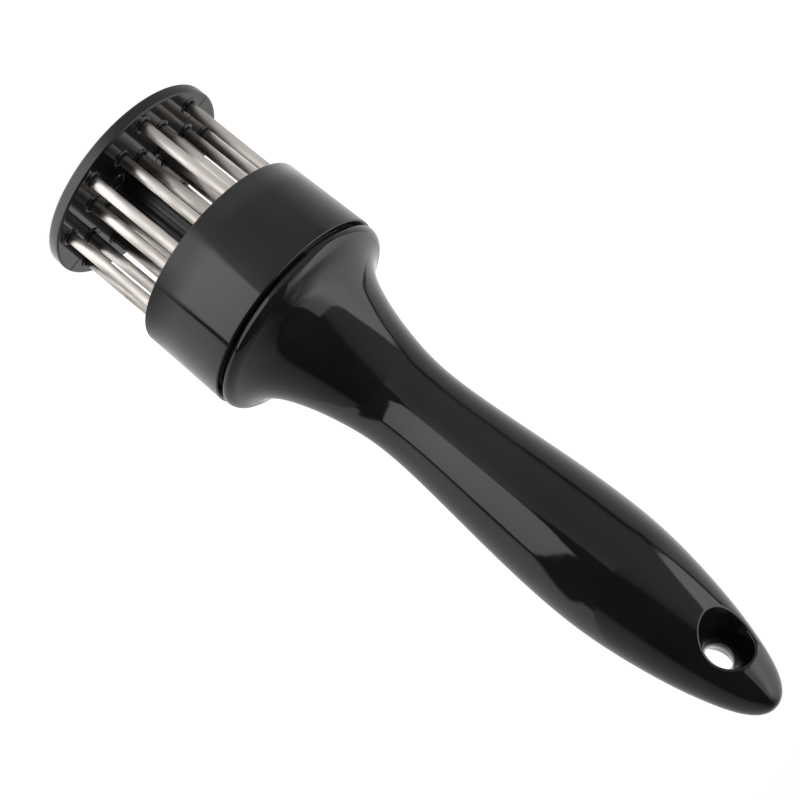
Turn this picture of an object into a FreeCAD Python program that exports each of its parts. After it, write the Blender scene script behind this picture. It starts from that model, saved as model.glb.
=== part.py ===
import FreeCAD, Part

import math
import os
from types import SimpleNamespace

import Sketcher
from FreeCAD import Vector

# Hand-held needle tenderizer, standing on its guard disc with the handle up.
# Millimetres. +Z runs up the axis, and the origin is the middle of the disc's underside.
# The hanging hole through the nose of the handle runs along Y.

SIZES = [
    # outside diameter of the guard disc and of the needle head's top
    ("body_diameter", 54.4),
    # guard disc, which slides along the needles
    ("disc_thickness", 3.2),
    ("disc_edge_round", 0.5),
    ("needle_play", 0.2),
    ("boss_wall", 0.6),
    ("boss_height", 0.5),
    ("boss_round", 0.3),
    # needles, on three rings, the outer one a margin inside the needle head's wall
    ("ring_places", 8),
    ("outer_ring_margin", 0.2),
    ("middle_ring_step", 5.8),
    ("inner_ring_step", 6.7),
    ("needle_diameter", 2.8),
    ("needle_point", 2.6),
    ("needle_recess", 0.4),
    ("needle_head_diameter", 3.8),
    ("needle_head_thickness", 1.5),
    ("fixed_play", 0.05),
    # needle head
    ("head_gap", 28.2),
    ("head_height", 23.9),
    ("head_taper", 0.5),
    ("head_edge_round", 0.4),
    ("head_floor", 12.0),
    ("head_wall", 2.1),
    ("clamp_thickness", 2.5),
    ("clamp_play", 0.15),
    # plunger post and its stop
    ("post_diameter", 10.0),
    ("post_play", 0.08),
    ("post_clamp_play", 0.4),
    ("stop_gap", 0.15),
    ("stop_thickness", 1.2),
    ("stop_play", 0.35),
    ("shank_diameter", 3.5),
    ("shank_play", 0.05),
    ("stop_screw_head_diameter", 7.2),
    ("stop_screw_head_height", 2.4),
    ("stop_screw_length", 14.0),
    ("post_screw_head_diameter", 7.2),
    ("post_screw_head_height", 2.0),
    ("post_screw_length", 13.0),
    ("post_screw_recess", 0.3),
    ("screw_end_space", 1.5),
    # return spring
    ("spring_play", 0.8),
    ("spring_wire", 1.2),
    ("spring_mean_diameter", 12.0),
    ("spring_length", 60.0),
    ("spring_turns", 13),
    # screws that join the needle head to the handle, just inside the middle needle ring
    ("head_screw_count", 4),
    ("head_screw_inset", 0.3),
    ("head_screw_shank_diameter", 2.9),
    ("head_screw_play", 0.1),
    ("head_screw_head_diameter", 5.6),
    ("head_screw_head_height", 2.4),
    ("head_screw_sink", 3.2),
    ("head_screw_length", 22.0),
    ("head_screw_seat_play", 0.3),
    ("cross_length", 3.4),
    ("cross_width", 0.8),
    ("cross_depth", 1.0),
    ("screw_head_round", 0.9),
    # handle: spigot and bell, then the control points of the grip's outline, the lower ones
    # by their heights above the bell's rim and the upper ones by their drops from the tip
    ("groove_width", 1.45),
    ("spigot_play", 0.1),
    ("rim_step", 0.35),
    ("rim_round", 0.3),
    ("shoulder_radius", 2.65),
    ("shoulder_turn", 73.0),
    ("flare_lead", 5.0),
    ("flare_radius", 16.05),
    ("flare_height", 13.2),
    ("flare_top_radius", 13.45),
    ("flare_top_height", 23.2),
    ("neck_radius", 11.35),
    ("neck_height", 35.2),
    ("grip_low_radius", 12.55),
    ("grip_low_height", 53.2),
    ("grip_middle_radius", 14.7),
    ("grip_middle_height", 75.2),
    ("grip_swell_radius", 15.65),
    ("grip_swell_drop", 46.3),
    ("grip_high_radius", 13.15),
    ("grip_high_drop", 28.3),
    ("nose_radius", 10.0),
    ("nose_drop", 13.3),
    ("tip_radius", 4.85),
    ("handle_height", 143.5),
    # hollows of the handle
    ("spigot_wall", 2.5),
    ("bore_wall", 3.0),
    ("bell_core_rise", 1.0),
    ("screw_boss_diameter", 7.0),
    ("core_diameter", 10.0),
    ("core_end_margin", 19.9),
    # hanging hole
    ("hang_drop", 16.6),
    ("hang_throat_diameter", 6.9),
    ("hang_throat_length", 1.6),
    ("hang_mouth_angle", 21.3),
    ("hang_mouth_round", 0.6),
]


# Two heights or radii closer than this are the same one

TOUCH = 1e-4

# Degrees

FULL_TURN = 360


class Length:
    """A size or a place worked out from sizes: its value and its spreadsheet expression."""

    def __init__(self, text, value):
        self.text = text
        self.value = float(value)

    def join(self, other, sign, value, turned=False):
        other_text = other.text if isinstance(other, Length) else repr(other)
        first, second = (other_text, self.text) if turned else (self.text, other_text)
        return Length(f"({first} {sign} {second})", value)

    def __add__(self, other):
        return self.join(other, "+", self.value + plain(other))

    def __sub__(self, other):
        return self.join(other, "-", self.value - plain(other))

    def __mul__(self, other):
        return self.join(other, "*", self.value * plain(other))

    def __truediv__(self, other):
        return self.join(other, "/", self.value / plain(other))

    def __rtruediv__(self, other):
        return self.join(other, "/", plain(other) / self.value, turned=True)

    def __neg__(self):
        return Length(f"(-1 * {self.text})", -self.value)


def plain(number):
    return number.value if isinstance(number, Length) else number


def sine(angle):
    return Length(f"sin({angle.text})", math.sin(math.radians(angle.value)))


def cosine(angle):
    return Length(f"cos({angle.text})", math.cos(math.radians(angle.value)))


def tangent(angle):
    return Length(f"tan({angle.text})", math.tan(math.radians(angle.value)))


doc = FreeCAD.newDocument("needle_tenderizer")
sheet = doc.addObject("Spreadsheet::Sheet", "sizes")
for row, (alias, number) in enumerate(SIZES, start=1):
    sheet.set(f"A{row}", alias)
    sheet.set(f"B{row}", str(number))
    sheet.setAlias(f"B{row}", alias)
doc.recompute()

size = SimpleNamespace(**{alias: Length(f"sizes.{alias}", number) for alias, number in SIZES})
ZERO = Length("0", 0.0)


# Places along the axis, each from what the piece seats on

disc_top = size.disc_thickness
boss_top = disc_top + size.boss_height
head_bottom = disc_top + size.head_gap
floor_top = head_bottom + size.head_floor
clamp_bottom = floor_top + size.needle_head_thickness
clamp_top = clamp_bottom + size.clamp_thickness
head_top = head_bottom + size.head_height
post_top = clamp_top + size.stop_gap
stop_top = post_top + size.stop_thickness
spring_top = stop_top + size.spring_length
bell_bottom = head_top + size.groove_width
handle_tip = bell_bottom + size.handle_height
hang_centre = handle_tip - size.hang_drop
head_screw_seat = head_bottom + size.head_screw_sink
pilot_top = head_screw_seat + size.head_screw_length + size.screw_end_space

# Radii

body_radius = size.body_diameter / 2
rim_radius = body_radius - size.rim_step
needle_radius = size.needle_diameter / 2
needle_hole_radius = needle_radius + size.needle_play
needle_seat_radius = needle_radius + size.fixed_play
needle_head_radius = size.needle_head_diameter / 2
boss_radius = needle_hole_radius + size.boss_wall
head_bore_radius = body_radius - size.head_wall
outer_ring = head_bore_radius - needle_head_radius - size.outer_ring_margin
middle_ring = outer_ring - size.middle_ring_step
inner_ring = middle_ring - size.inner_ring_step
clamp_radius = head_bore_radius - size.clamp_play
spigot_radius = head_bore_radius - size.spigot_play
post_radius = size.post_diameter / 2
spring_bore_radius = size.spring_mean_diameter / 2 + size.spring_wire / 2 + size.spring_play
stop_radius = spring_bore_radius - size.stop_play
shank_radius = size.shank_diameter / 2
shank_hole_radius = shank_radius + size.shank_play
head_screw_radius = size.head_screw_shank_diameter / 2
head_screw_hole_radius = head_screw_radius + size.head_screw_play
head_screw_circle = middle_ring - size.head_screw_inset
ring_step = FULL_TURN / size.ring_places
half_ring_step = ring_step / 2


# Bodies, sketches and features

def new_body(name):
    body = doc.addObject("PartDesign::Body", name)
    body.Label = name
    return body


def origin_plane(body, role):
    for feature in body.Origin.OriginFeatures:
        if feature.Role == role:
            return feature
    raise ValueError(f"no {role} in {body.Label}")


def new_sketch(body, name, role, level=None):
    """A sketch on one of the body's own origin planes, lifted to level."""
    sketch = body.newObject("Sketcher::SketchObject", f"{body.Label}_{name}")
    sketch.AttachmentSupport = (origin_plane(body, role), [""])
    sketch.MapMode = "FlatFace"
    if level is not None:
        direction = "z" if role == "XY_Plane" else "y"
        sketch.setExpression(f"AttachmentOffset.Base.{direction}", level.text)
    return sketch


def dimension(sketch, kind, *where, length):
    """A driving constraint of the sketch, bound to the spreadsheet."""
    number = sketch.addConstraint(Sketcher.Constraint(kind, *where, length.value))
    sketch.setExpression(f"Constraints[{number}]", length.text)


def pin_point(sketch, geometry, end, across, up):
    """Fixes one point of the sketch at (across, up) from the sketch's origin."""
    for kind, axis, length in (("DistanceX", -2, across), ("DistanceY", -1, up)):
        if length is ZERO:
            sketch.addConstraint(Sketcher.Constraint("PointOnObject", geometry, end, axis))
        else:
            dimension(sketch, kind, -1, 1, geometry, end, length=length)


def point(across, up):
    return Vector(across.value, up.value, 0)


def outline(sketch, corners):
    """A closed outline of straight lines through the corners."""
    count = len(corners)
    lines = []
    for number, corner in enumerate(corners):
        following = corners[(number + 1) % count]
        lines.append(sketch.addGeometry(Part.LineSegment(point(*corner), point(*following))))
    for number, line in enumerate(lines):
        following = lines[(number + 1) % count]
        sketch.addConstraint(Sketcher.Constraint("Coincident", line, 2, following, 1))
    for line, corner in zip(lines, corners):
        pin_point(sketch, line, 1, *corner)
    return lines


def circle(sketch, across, up, radius):
    ring = sketch.addGeometry(Part.Circle(point(across, up), Vector(0, 0, 1), radius.value))
    if across is ZERO and up is ZERO:
        sketch.addConstraint(Sketcher.Constraint("Coincident", ring, 3, -1, 1))
    else:
        pin_point(sketch, ring, 3, across, up)
    dimension(sketch, "Radius", ring, length=radius)
    return ring


def turned(body, sketch, name, cut=False, axis="V_Axis"):
    """A full turn of the sketch about one of its axes, added or cut away."""
    kind = "PartDesign::Groove" if cut else "PartDesign::Revolution"
    feature = body.newObject(kind, f"{body.Label}_{name}")
    feature.Profile = sketch
    feature.ReferenceAxis = (sketch, [axis])
    feature.Angle = FULL_TURN
    return feature


def raised(body, sketch, name, height):
    """A pad of the sketch, upwards."""
    feature = body.newObject("PartDesign::Pad", f"{body.Label}_{name}")
    feature.Profile = sketch
    feature.setExpression("Length", height.text)
    return feature


def sunk(body, sketch, name, depth, upwards=False):
    """A pocket of the sketch, downwards unless upwards is set."""
    feature = body.newObject("PartDesign::Pocket", f"{body.Label}_{name}")
    feature.Profile = sketch
    feature.setExpression("Length", depth.text)
    feature.Reversed = upwards
    return feature


def around(body, features, sketch, name, count):
    """Copies of the features around the vertical axis of a sketch."""
    pattern = body.newObject("PartDesign::PolarPattern", f"{body.Label}_{name}")
    pattern.Originals = features
    pattern.Axis = (sketch, ["N_Axis"])
    pattern.Angle = FULL_TURN
    pattern.setExpression("Occurrences", count.text)
    body.Tip = pattern
    return pattern


def ring_places(sketch, radius):
    """One round place on each needle ring: the outer and inner rings start on +X, and the
    middle ring lies half a step round from them."""
    circle(sketch, outer_ring, ZERO, radius)
    circle(sketch, inner_ring, ZERO, radius)
    across = middle_ring * cosine(half_ring_step)
    up = middle_ring * sine(half_ring_step)
    circle(sketch, across, up, radius)


def edges_at(shape, level, radius):
    """Names of the circular edges of this radius at this height."""
    names = []
    for number, edge in enumerate(shape.Edges, start=1):
        if not isinstance(edge.Curve, Part.Circle):
            continue
        same_level = abs(edge.Curve.Center.z - level.value) < TOUCH
        if same_level and abs(edge.Curve.Radius - radius.value) < TOUCH:
            names.append(f"Edge{number}")
    return names


def mouth_edges(shape):
    """Names of the edges where a funnel of the hanging hole runs out into the handle's skin."""
    names = []
    for number, edge in enumerate(shape.Edges, start=1):
        sides = [face.Surface for face in shape.ancestorsOfType(edge, Part.Face)]
        funnels = [side for side in sides if isinstance(side, Part.Cone)]
        throats = [side for side in sides if isinstance(side, Part.Cylinder)]
        if len(sides) == 2 and len(funnels) == 1 and not throats:
            names.append(f"Edge{number}")
    return names


def rounded(body, base, name, radius, edges):
    doc.recompute()
    feature = body.newObject("PartDesign::Fillet", f"{body.Label}_{name}")
    feature.Base = (base, edges)
    feature.setExpression("Radius", radius.text)
    return feature


def drive_cross(body, level, upwards, centre=ZERO):
    """The crossed driver recess in a screw head, cut from level."""
    sketch = new_sketch(body, "cross_outline", "XY_Plane", level)
    reach = size.cross_length / 2
    side = size.cross_width / 2
    corners = [
        (centre - reach, -side),
        (centre - side, -side),
        (centre - side, -reach),
        (centre + side, -reach),
        (centre + side, -side),
        (centre + reach, -side),
        (centre + reach, side),
        (centre + side, side),
        (centre + side, reach),
        (centre - side, reach),
        (centre - side, side),
        (centre - reach, side),
    ]
    outline(sketch, corners)
    return sunk(body, sketch, "cross", size.cross_depth, upwards)


# Guard disc

def guard_disc():
    body = new_body("guard_disc")
    sketch = new_sketch(body, "plate_outline", "XY_Plane")
    circle(sketch, ZERO, ZERO, body_radius)
    plate = raised(body, sketch, "plate", disc_top)
    doc.recompute()
    rims = edges_at(plate.Shape, disc_top, body_radius) + edges_at(plate.Shape, ZERO, body_radius)
    rounded(body, plate, "edge_round", size.disc_edge_round, rims)

    sketch = new_sketch(body, "boss_outline", "XY_Plane", disc_top)
    ring_places(sketch, boss_radius)
    bosses = raised(body, sketch, "bosses", size.boss_height)
    boss_rings = around(body, [bosses], sketch, "boss_rings", size.ring_places)
    doc.recompute()
    rims = edges_at(boss_rings.Shape, boss_top, boss_radius)
    rounded(body, boss_rings, "boss_round", size.boss_round, rims)

    sketch = new_sketch(body, "hole_outline", "XY_Plane", boss_top)
    ring_places(sketch, needle_hole_radius)
    holes = sunk(body, sketch, "holes", boss_top)
    around(body, [holes], sketch, "hole_rings", size.ring_places)

    sketch = new_sketch(body, "screw_seat_outline", "XZ_Plane")
    seat_radius = size.post_screw_head_diameter / 2 + size.shank_play
    seat_top = size.post_screw_recess + size.post_screw_head_height
    corners = [
        (ZERO, ZERO),
        (seat_radius, ZERO),
        (seat_radius, size.post_screw_recess),
        (shank_hole_radius, seat_top),
        (shank_hole_radius, disc_top),
        (ZERO, disc_top),
    ]
    outline(sketch, corners)
    turned(body, sketch, "screw_seat", cut=True)
    return body


# Plunger post, its screws and its stop washer

def plunger_post():
    body = new_body("plunger_post")
    sketch = new_sketch(body, "outline", "XZ_Plane")
    low_hole_top = size.post_screw_recess + size.post_screw_length + size.screw_end_space
    high_hole_bottom = stop_top - size.stop_screw_length - size.screw_end_space
    corners = [
        (shank_hole_radius, disc_top),
        (post_radius, disc_top),
        (post_radius, post_top),
        (shank_hole_radius, post_top),
        (shank_hole_radius, high_hole_bottom),
        (ZERO, high_hole_bottom),
        (ZERO, low_hole_top),
        (shank_hole_radius, low_hole_top),
    ]
    outline(sketch, corners)
    turned(body, sketch, "rod")
    return body


def post_screw():
    body = new_body("post_screw")
    sketch = new_sketch(body, "outline", "XZ_Plane")
    head_low = size.post_screw_recess
    head_high = head_low + size.post_screw_head_height
    screw_end = head_low + size.post_screw_length
    corners = [
        (ZERO, head_low),
        (size.post_screw_head_diameter / 2, head_low),
        (shank_radius, head_high),
        (shank_radius, screw_end),
        (ZERO, screw_end),
    ]
    outline(sketch, corners)
    turned(body, sketch, "blank")
    drive_cross(body, head_low, upwards=True)
    return body


def stop_washer():
    body = new_body("stop_washer")
    sketch = new_sketch(body, "outline", "XZ_Plane")
    corners = [
        (shank_hole_radius, post_top),
        (stop_radius, post_top),
        (stop_radius, stop_top),
        (shank_hole_radius, stop_top),
    ]
    outline(sketch, corners)
    turned(body, sketch, "ring")
    return body


def stop_screw():
    body = new_body("stop_screw")
    sketch = new_sketch(body, "outline", "XZ_Plane")
    head_high = stop_top + size.stop_screw_head_height
    head_radius = size.stop_screw_head_diameter / 2
    screw_end = stop_top - size.stop_screw_length
    corners = [
        (ZERO, screw_end),
        (shank_radius, screw_end),
        (shank_radius, stop_top),
        (head_radius, stop_top),
        (head_radius, head_high),
        (ZERO, head_high),
    ]
    outline(sketch, corners)
    blank = turned(body, sketch, "blank")
    doc.recompute()
    rim = edges_at(blank.Shape, head_high, head_radius)
    rounded(body, blank, "head_round", size.screw_head_round, rim)
    drive_cross(body, head_high, upwards=False)
    return body


# Return spring, between the stop washer and the end of its bore

def return_spring():
    body = new_body("return_spring")
    wire_radius = size.spring_wire / 2
    sketch = new_sketch(body, "wire_section", "XZ_Plane")
    circle(sketch, size.spring_mean_diameter / 2, stop_top + wire_radius, wire_radius)
    coil = body.newObject("PartDesign::AdditiveHelix", "return_spring_coil")
    coil.Profile = sketch
    coil.ReferenceAxis = (sketch, ["V_Axis"])
    coil.Mode = "height-turns-angle"
    coil.setExpression("Height", (size.spring_length - size.spring_wire).text)
    coil.setExpression("Turns", size.spring_turns.text)
    return body


# Needles

def needle(name, ring_radius, angle):
    body = new_body(name)
    sketch = new_sketch(body, "outline", "XZ_Plane")
    tip = size.needle_recess
    corners = [
        (ZERO, tip),
        (needle_radius, tip + size.needle_point),
        (needle_radius, floor_top),
        (needle_head_radius, floor_top),
        (needle_head_radius, clamp_bottom),
        (ZERO, clamp_bottom),
    ]
    outline(sketch, corners)
    turned(body, sketch, "pin")
    body.setExpression("Placement.Base.x", (ring_radius * cosine(angle)).text)
    body.setExpression("Placement.Base.y", (ring_radius * sine(angle)).text)
    return body


def needles():
    """The inner ring's place at 315 degrees has its holes but holds no needle."""
    bodies = []
    rings = (
        ("outer", outer_ring, 0.0),
        ("middle", middle_ring, 0.5),
        ("inner", inner_ring, 0.0),
    )
    places = int(size.ring_places.value)
    for ring, ring_radius, start in rings:
        for place in range(places):
            if ring == "inner" and place == places - 1:
                continue
            angle = ring_step * (place + start)
            bodies.append(needle(f"needle_{ring}_{place + 1}", ring_radius, angle))
    return bodies


# Needle head and the clamp plate in it

def needle_head():
    body = new_body("needle_head")
    bottom_radius = body_radius - size.head_taper
    sketch = new_sketch(body, "cup_outline", "XZ_Plane")
    guide_radius = post_radius + size.post_play
    corners = [
        (guide_radius, head_bottom),
        (bottom_radius, head_bottom),
        (body_radius, head_top),
        (head_bore_radius, head_top),
        (head_bore_radius, floor_top),
        (guide_radius, floor_top),
    ]
    outline(sketch, corners)
    cup = turned(body, sketch, "cup")
    doc.recompute()
    rims = edges_at(cup.Shape, head_bottom, bottom_radius)
    rims += edges_at(cup.Shape, head_top, body_radius)
    rounded(body, cup, "edge_round", size.head_edge_round, rims)

    sketch = new_sketch(body, "needle_seat_outline", "XY_Plane", floor_top)
    ring_places(sketch, needle_seat_radius)
    seats = sunk(body, sketch, "needle_seats", size.head_floor)
    around(body, [seats], sketch, "needle_seat_rings", size.ring_places)

    sketch = new_sketch(body, "screw_hole_outline", "XY_Plane", floor_top)
    circle(sketch, head_screw_circle, ZERO, head_screw_hole_radius)
    holes = sunk(body, sketch, "screw_holes", size.head_floor)
    around(body, [holes], sketch, "screw_hole_ring", size.head_screw_count)

    sketch = new_sketch(body, "screw_sink_outline", "XY_Plane", head_bottom)
    sink_radius = size.head_screw_head_diameter / 2 + size.head_screw_seat_play
    circle(sketch, head_screw_circle, ZERO, sink_radius)
    sinks = sunk(body, sketch, "screw_sinks", size.head_screw_sink, upwards=True)
    around(body, [sinks], sketch, "screw_sink_ring", size.head_screw_count)
    return body


def clamp_plate():
    body = new_body("clamp_plate")
    sketch = new_sketch(body, "plate_outline", "XY_Plane", clamp_bottom)
    circle(sketch, ZERO, ZERO, clamp_radius)
    circle(sketch, ZERO, ZERO, post_radius + size.post_clamp_play)
    raised(body, sketch, "plate", size.clamp_thickness)

    sketch = new_sketch(body, "screw_hole_outline", "XY_Plane", clamp_top)
    circle(sketch, head_screw_circle, ZERO, head_screw_hole_radius)
    holes = sunk(body, sketch, "screw_holes", size.clamp_thickness)
    around(body, [holes], sketch, "screw_hole_ring", size.head_screw_count)
    return body


def head_screws():
    """Four equal screws, one solid each."""
    body = new_body("head_screws")
    body.AllowCompound = True
    head_low = head_screw_seat - size.head_screw_head_height
    head_radius = size.head_screw_head_diameter / 2
    centre = head_screw_circle

    sketch = new_sketch(body, "head_outline", "XY_Plane", head_low)
    circle(sketch, centre, ZERO, head_radius)
    head = raised(body, sketch, "head", size.head_screw_head_height)

    sketch = new_sketch(body, "shank_outline", "XY_Plane", head_screw_seat)
    circle(sketch, centre, ZERO, head_screw_radius)
    shank = raised(body, sketch, "shank", size.head_screw_length)

    cross = drive_cross(body, head_low, upwards=True, centre=centre)
    around(body, [head, shank, cross], sketch, "set", size.head_screw_count)
    return body


# Handle

def handle_outline(sketch):
    """Half section of the handle: the spigot, the rounded shoulder of the bell, and one
    spline from the shoulder over the neck and the grip to the nose."""
    shoulder_low = bell_bottom + size.rim_round
    shoulder_centre = rim_radius - size.shoulder_radius
    shoulder_end = (
        shoulder_centre + size.shoulder_radius * cosine(size.shoulder_turn),
        shoulder_low + size.shoulder_radius * sine(size.shoulder_turn),
    )
    lead_end = (
        shoulder_end[0] - size.flare_lead * sine(size.shoulder_turn),
        shoulder_end[1] + size.flare_lead * cosine(size.shoulder_turn),
    )
    poles = [
        shoulder_end,
        lead_end,
        (size.flare_radius, bell_bottom + size.flare_height),
        (size.flare_top_radius, bell_bottom + size.flare_top_height),
        (size.neck_radius, bell_bottom + size.neck_height),
        (size.grip_low_radius, bell_bottom + size.grip_low_height),
        (size.grip_middle_radius, bell_bottom + size.grip_middle_height),
        (size.grip_swell_radius, handle_tip - size.grip_swell_drop),
        (size.grip_high_radius, handle_tip - size.grip_high_drop),
        (size.nose_radius, handle_tip - size.nose_drop),
        (size.tip_radius, handle_tip),
        (ZERO, handle_tip),
    ]
    corners = [
        (ZERO, handle_tip),
        (ZERO, clamp_top),
        (spigot_radius, clamp_top),
        (spigot_radius, bell_bottom),
        (rim_radius - size.rim_round, bell_bottom),
    ]
    lines = []
    for start, end in zip(corners, corners[1:]):
        lines.append(sketch.addGeometry(Part.LineSegment(point(*start), point(*end))))
    for line, following in zip(lines, lines[1:]):
        sketch.addConstraint(Sketcher.Constraint("Coincident", line, 2, following, 1))
    for line, corner in zip(lines, corners):
        pin_point(sketch, line, 1, *corner)
    pin_point(sketch, lines[-1], 2, *corners[-1])

    rim_start = corners[-1]
    rim_end = (rim_radius, shoulder_low)
    rim = arc(sketch, rim_start, rim_end, size.rim_round, (rim_start[0], shoulder_low), -90, 0)
    shoulder = arc(
        sketch,
        rim_end,
        shoulder_end,
        size.shoulder_radius,
        (shoulder_centre, shoulder_low),
        0,
        size.shoulder_turn.value,
    )
    curve = spline(sketch, poles)
    joins = ((lines[-1], 2, rim, 1), (rim, 2, shoulder, 1), (shoulder, 2, curve, 1))
    for first, end, second, start in joins:
        sketch.addConstraint(Sketcher.Constraint("Coincident", first, end, second, start))
    sketch.addConstraint(Sketcher.Constraint("Coincident", curve, 2, lines[0], 1))


def arc(sketch, start, end, radius, centre, first_angle, last_angle):
    """An arc about a pinned centre, of a set radius, that ends level with the point end."""
    ring = Part.Circle(point(*centre), Vector(0, 0, 1), radius.value)
    first, last = math.radians(first_angle), math.radians(last_angle)
    number = sketch.addGeometry(Part.ArcOfCircle(ring, first, last))
    pin_point(sketch, number, 3, *centre)
    dimension(sketch, "DistanceY", -1, 1, number, 2, length=end[1])
    return number


def spline(sketch, poles):
    """A cubic spline whose control points are all pinned."""
    curve = Part.BSplineCurve()
    curve.buildFromPoles([point(*pole) for pole in poles], False, 3)
    number = sketch.addGeometry(curve)
    handles = []
    for pole in poles:
        ring = Part.Circle(point(*pole), Vector(0, 0, 1), 1.0)
        handles.append(sketch.addGeometry(ring, True))
    for place, ring in enumerate(handles):
        kind = "InternalAlignment:Sketcher::BSplineControlPoint"
        sketch.addConstraint(Sketcher.Constraint(kind, ring, 3, number, place))
    sketch.addConstraint(Sketcher.Constraint("Weight", handles[0], 1.0))
    for ring in handles[1:]:
        sketch.addConstraint(Sketcher.Constraint("Equal", handles[0], ring))
    for ring, pole in list(zip(handles, poles))[1:-1]:
        pin_point(sketch, ring, 3, *pole)
    return number


def handle():
    body = new_body("handle")
    sketch = new_sketch(body, "outline", "XZ_Plane")
    handle_outline(sketch)
    turned(body, sketch, "solid")

    core_top = hang_centre - size.core_end_margin
    sketch = new_sketch(body, "bore_outline", "XZ_Plane")
    corners = [
        (ZERO, clamp_top),
        (spring_bore_radius, clamp_top),
        (spring_bore_radius, spring_top),
        (size.core_diameter / 2, spring_top),
        (size.core_diameter / 2, core_top),
        (ZERO, core_top),
    ]
    outline(sketch, corners)
    turned(body, sketch, "bore", cut=True)

    sketch = new_sketch(body, "bell_core_outline", "XY_Plane", clamp_top)
    circle(sketch, ZERO, ZERO, spigot_radius - size.spigot_wall)
    circle(sketch, ZERO, ZERO, spring_bore_radius + size.bore_wall)
    core_depth = bell_bottom + size.bell_core_rise - clamp_top
    sunk(body, sketch, "bell_core", core_depth, upwards=True)

    sketch = new_sketch(body, "screw_boss_outline", "XY_Plane", clamp_top)
    circle(sketch, head_screw_circle, ZERO, size.screw_boss_diameter / 2)
    bosses = raised(body, sketch, "screw_bosses", core_depth)
    around(body, [bosses], sketch, "screw_boss_ring", size.head_screw_count)

    sketch = new_sketch(body, "pilot_outline", "XY_Plane", clamp_top)
    circle(sketch, head_screw_circle, ZERO, head_screw_radius + size.fixed_play)
    pilots = sunk(body, sketch, "pilots", pilot_top - clamp_top, upwards=True)
    around(body, [pilots], sketch, "pilot_ring", size.head_screw_count)

    sketch = new_sketch(body, "hang_outline", "YZ_Plane", hang_centre)
    throat = size.hang_throat_diameter / 2
    half_throat = size.hang_throat_length / 2
    mouth = throat + (rim_radius - half_throat) * tangent(size.hang_mouth_angle)
    corners = [
        (-rim_radius, ZERO),
        (rim_radius, ZERO),
        (rim_radius, mouth),
        (half_throat, throat),
        (-half_throat, throat),
        (-rim_radius, mouth),
    ]
    outline(sketch, corners)
    hole = turned(body, sketch, "hang_hole", cut=True, axis="H_Axis")
    doc.recompute()
    rounded(body, hole, "mouth_round", size.hang_mouth_round, mouth_edges(hole.Shape))
    return body


def checked(body):
    """Stops on a failed feature or a broken shape."""
    for feature in body.Group:
        if "Invalid" in feature.State or "Error" in feature.State:
            raise ValueError(f"{feature.Label} failed: {feature.State}")
    shape = body.Shape
    if shape.isNull() or not shape.isValid() or not shape.Solids:
        raise ValueError(f"{body.Label} has no valid solid")
    return shape


bodies = [
    guard_disc(),
    plunger_post(),
    post_screw(),
    stop_washer(),
    stop_screw(),
    return_spring(),
    needle_head(),
    clamp_plate(),
    head_screws(),
    handle(),
] + needles()

doc.recompute()
shapes = {body.Label: checked(body) for body in bodies}

os.makedirs("parts", exist_ok=True)
for name, shape in shapes.items():
    shape.exportStep(f"parts/{name}.step")
    box = shape.BoundBox
    print(
        f"{name}: {len(shape.Solids)} solid(s), {shape.Volume:.1f} mm3, "
        f"z {box.ZMin:.2f} to {box.ZMax:.2f}, across {box.XLength:.2f}"
    )
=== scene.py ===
"""Looks of the needle meat tenderizer: handle, needle head, needles and the sliding guard."""
import math

import bmesh
import bpy
from mathutils import Matrix, Vector


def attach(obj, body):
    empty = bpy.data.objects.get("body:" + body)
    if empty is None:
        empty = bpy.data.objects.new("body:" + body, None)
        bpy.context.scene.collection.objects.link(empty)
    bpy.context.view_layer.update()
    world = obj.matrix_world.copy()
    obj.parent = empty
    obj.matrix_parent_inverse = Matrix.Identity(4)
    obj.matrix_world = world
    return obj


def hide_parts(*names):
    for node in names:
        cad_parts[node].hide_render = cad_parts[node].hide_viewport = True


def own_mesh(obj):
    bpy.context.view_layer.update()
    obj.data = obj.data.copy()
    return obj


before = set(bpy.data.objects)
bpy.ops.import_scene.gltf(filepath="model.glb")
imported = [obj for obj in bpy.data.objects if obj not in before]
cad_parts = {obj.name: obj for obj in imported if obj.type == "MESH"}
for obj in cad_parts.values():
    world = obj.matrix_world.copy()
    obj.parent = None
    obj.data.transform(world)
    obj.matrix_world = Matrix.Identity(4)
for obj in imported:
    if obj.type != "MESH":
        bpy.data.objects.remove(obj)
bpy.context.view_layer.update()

MM = 0.001
FULL_TURN = 2.0 * math.pi
DEGREES = 180.0 / math.pi

# Sizes in millimetres, heights measured up from the underside of the guard disc.
GUARD_RADIUS = 27.2
GUARD_THICK = 3.2
GUARD_EDGE_ROUND = 0.5
GUARD_MOUTH_ROUND = 0.12
GUARD_SEAM = math.radians(32.6)
LIP_ROUND = 0.4
NEEDLE_HOLE_RADIUS = 1.6
NEEDLE_RADIUS = 1.4
NEEDLE_TIP = 0.4
NEEDLE_POINT = 2.6
NEEDLE_EASE = 0.12
NEEDLE_HEAD_RADIUS = 1.9
NEEDLE_TOP = 44.9
OUTER_RING = 23.0
MIDDLE_RING = 17.2
INNER_RING = 10.5
RING_PLACES = 8

HEAD_BOTTOM = 31.4
HEAD_TOP = 55.3
HEAD_BOTTOM_RADIUS = 26.7
HEAD_TOP_RADIUS = 27.2
HEAD_ROUND = 0.4
HEAD_FLOOR = 43.4
HEAD_BORE_RADIUS = 25.1
HEAD_BORE_CHAMFER = 0.25
HEAD_MOUTH_ROUND = 0.2
NEEDLE_SEAT_RADIUS = 1.45
POST_HOLE_RADIUS = 5.08
SCREW_RING = 16.9
SCREW_PLACES = 4
SCREW_HOLE_RADIUS = 1.55
SINK_RADIUS = 3.1
SINK_DEPTH = 3.2
EDGE_FLAT = 0.15

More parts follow.
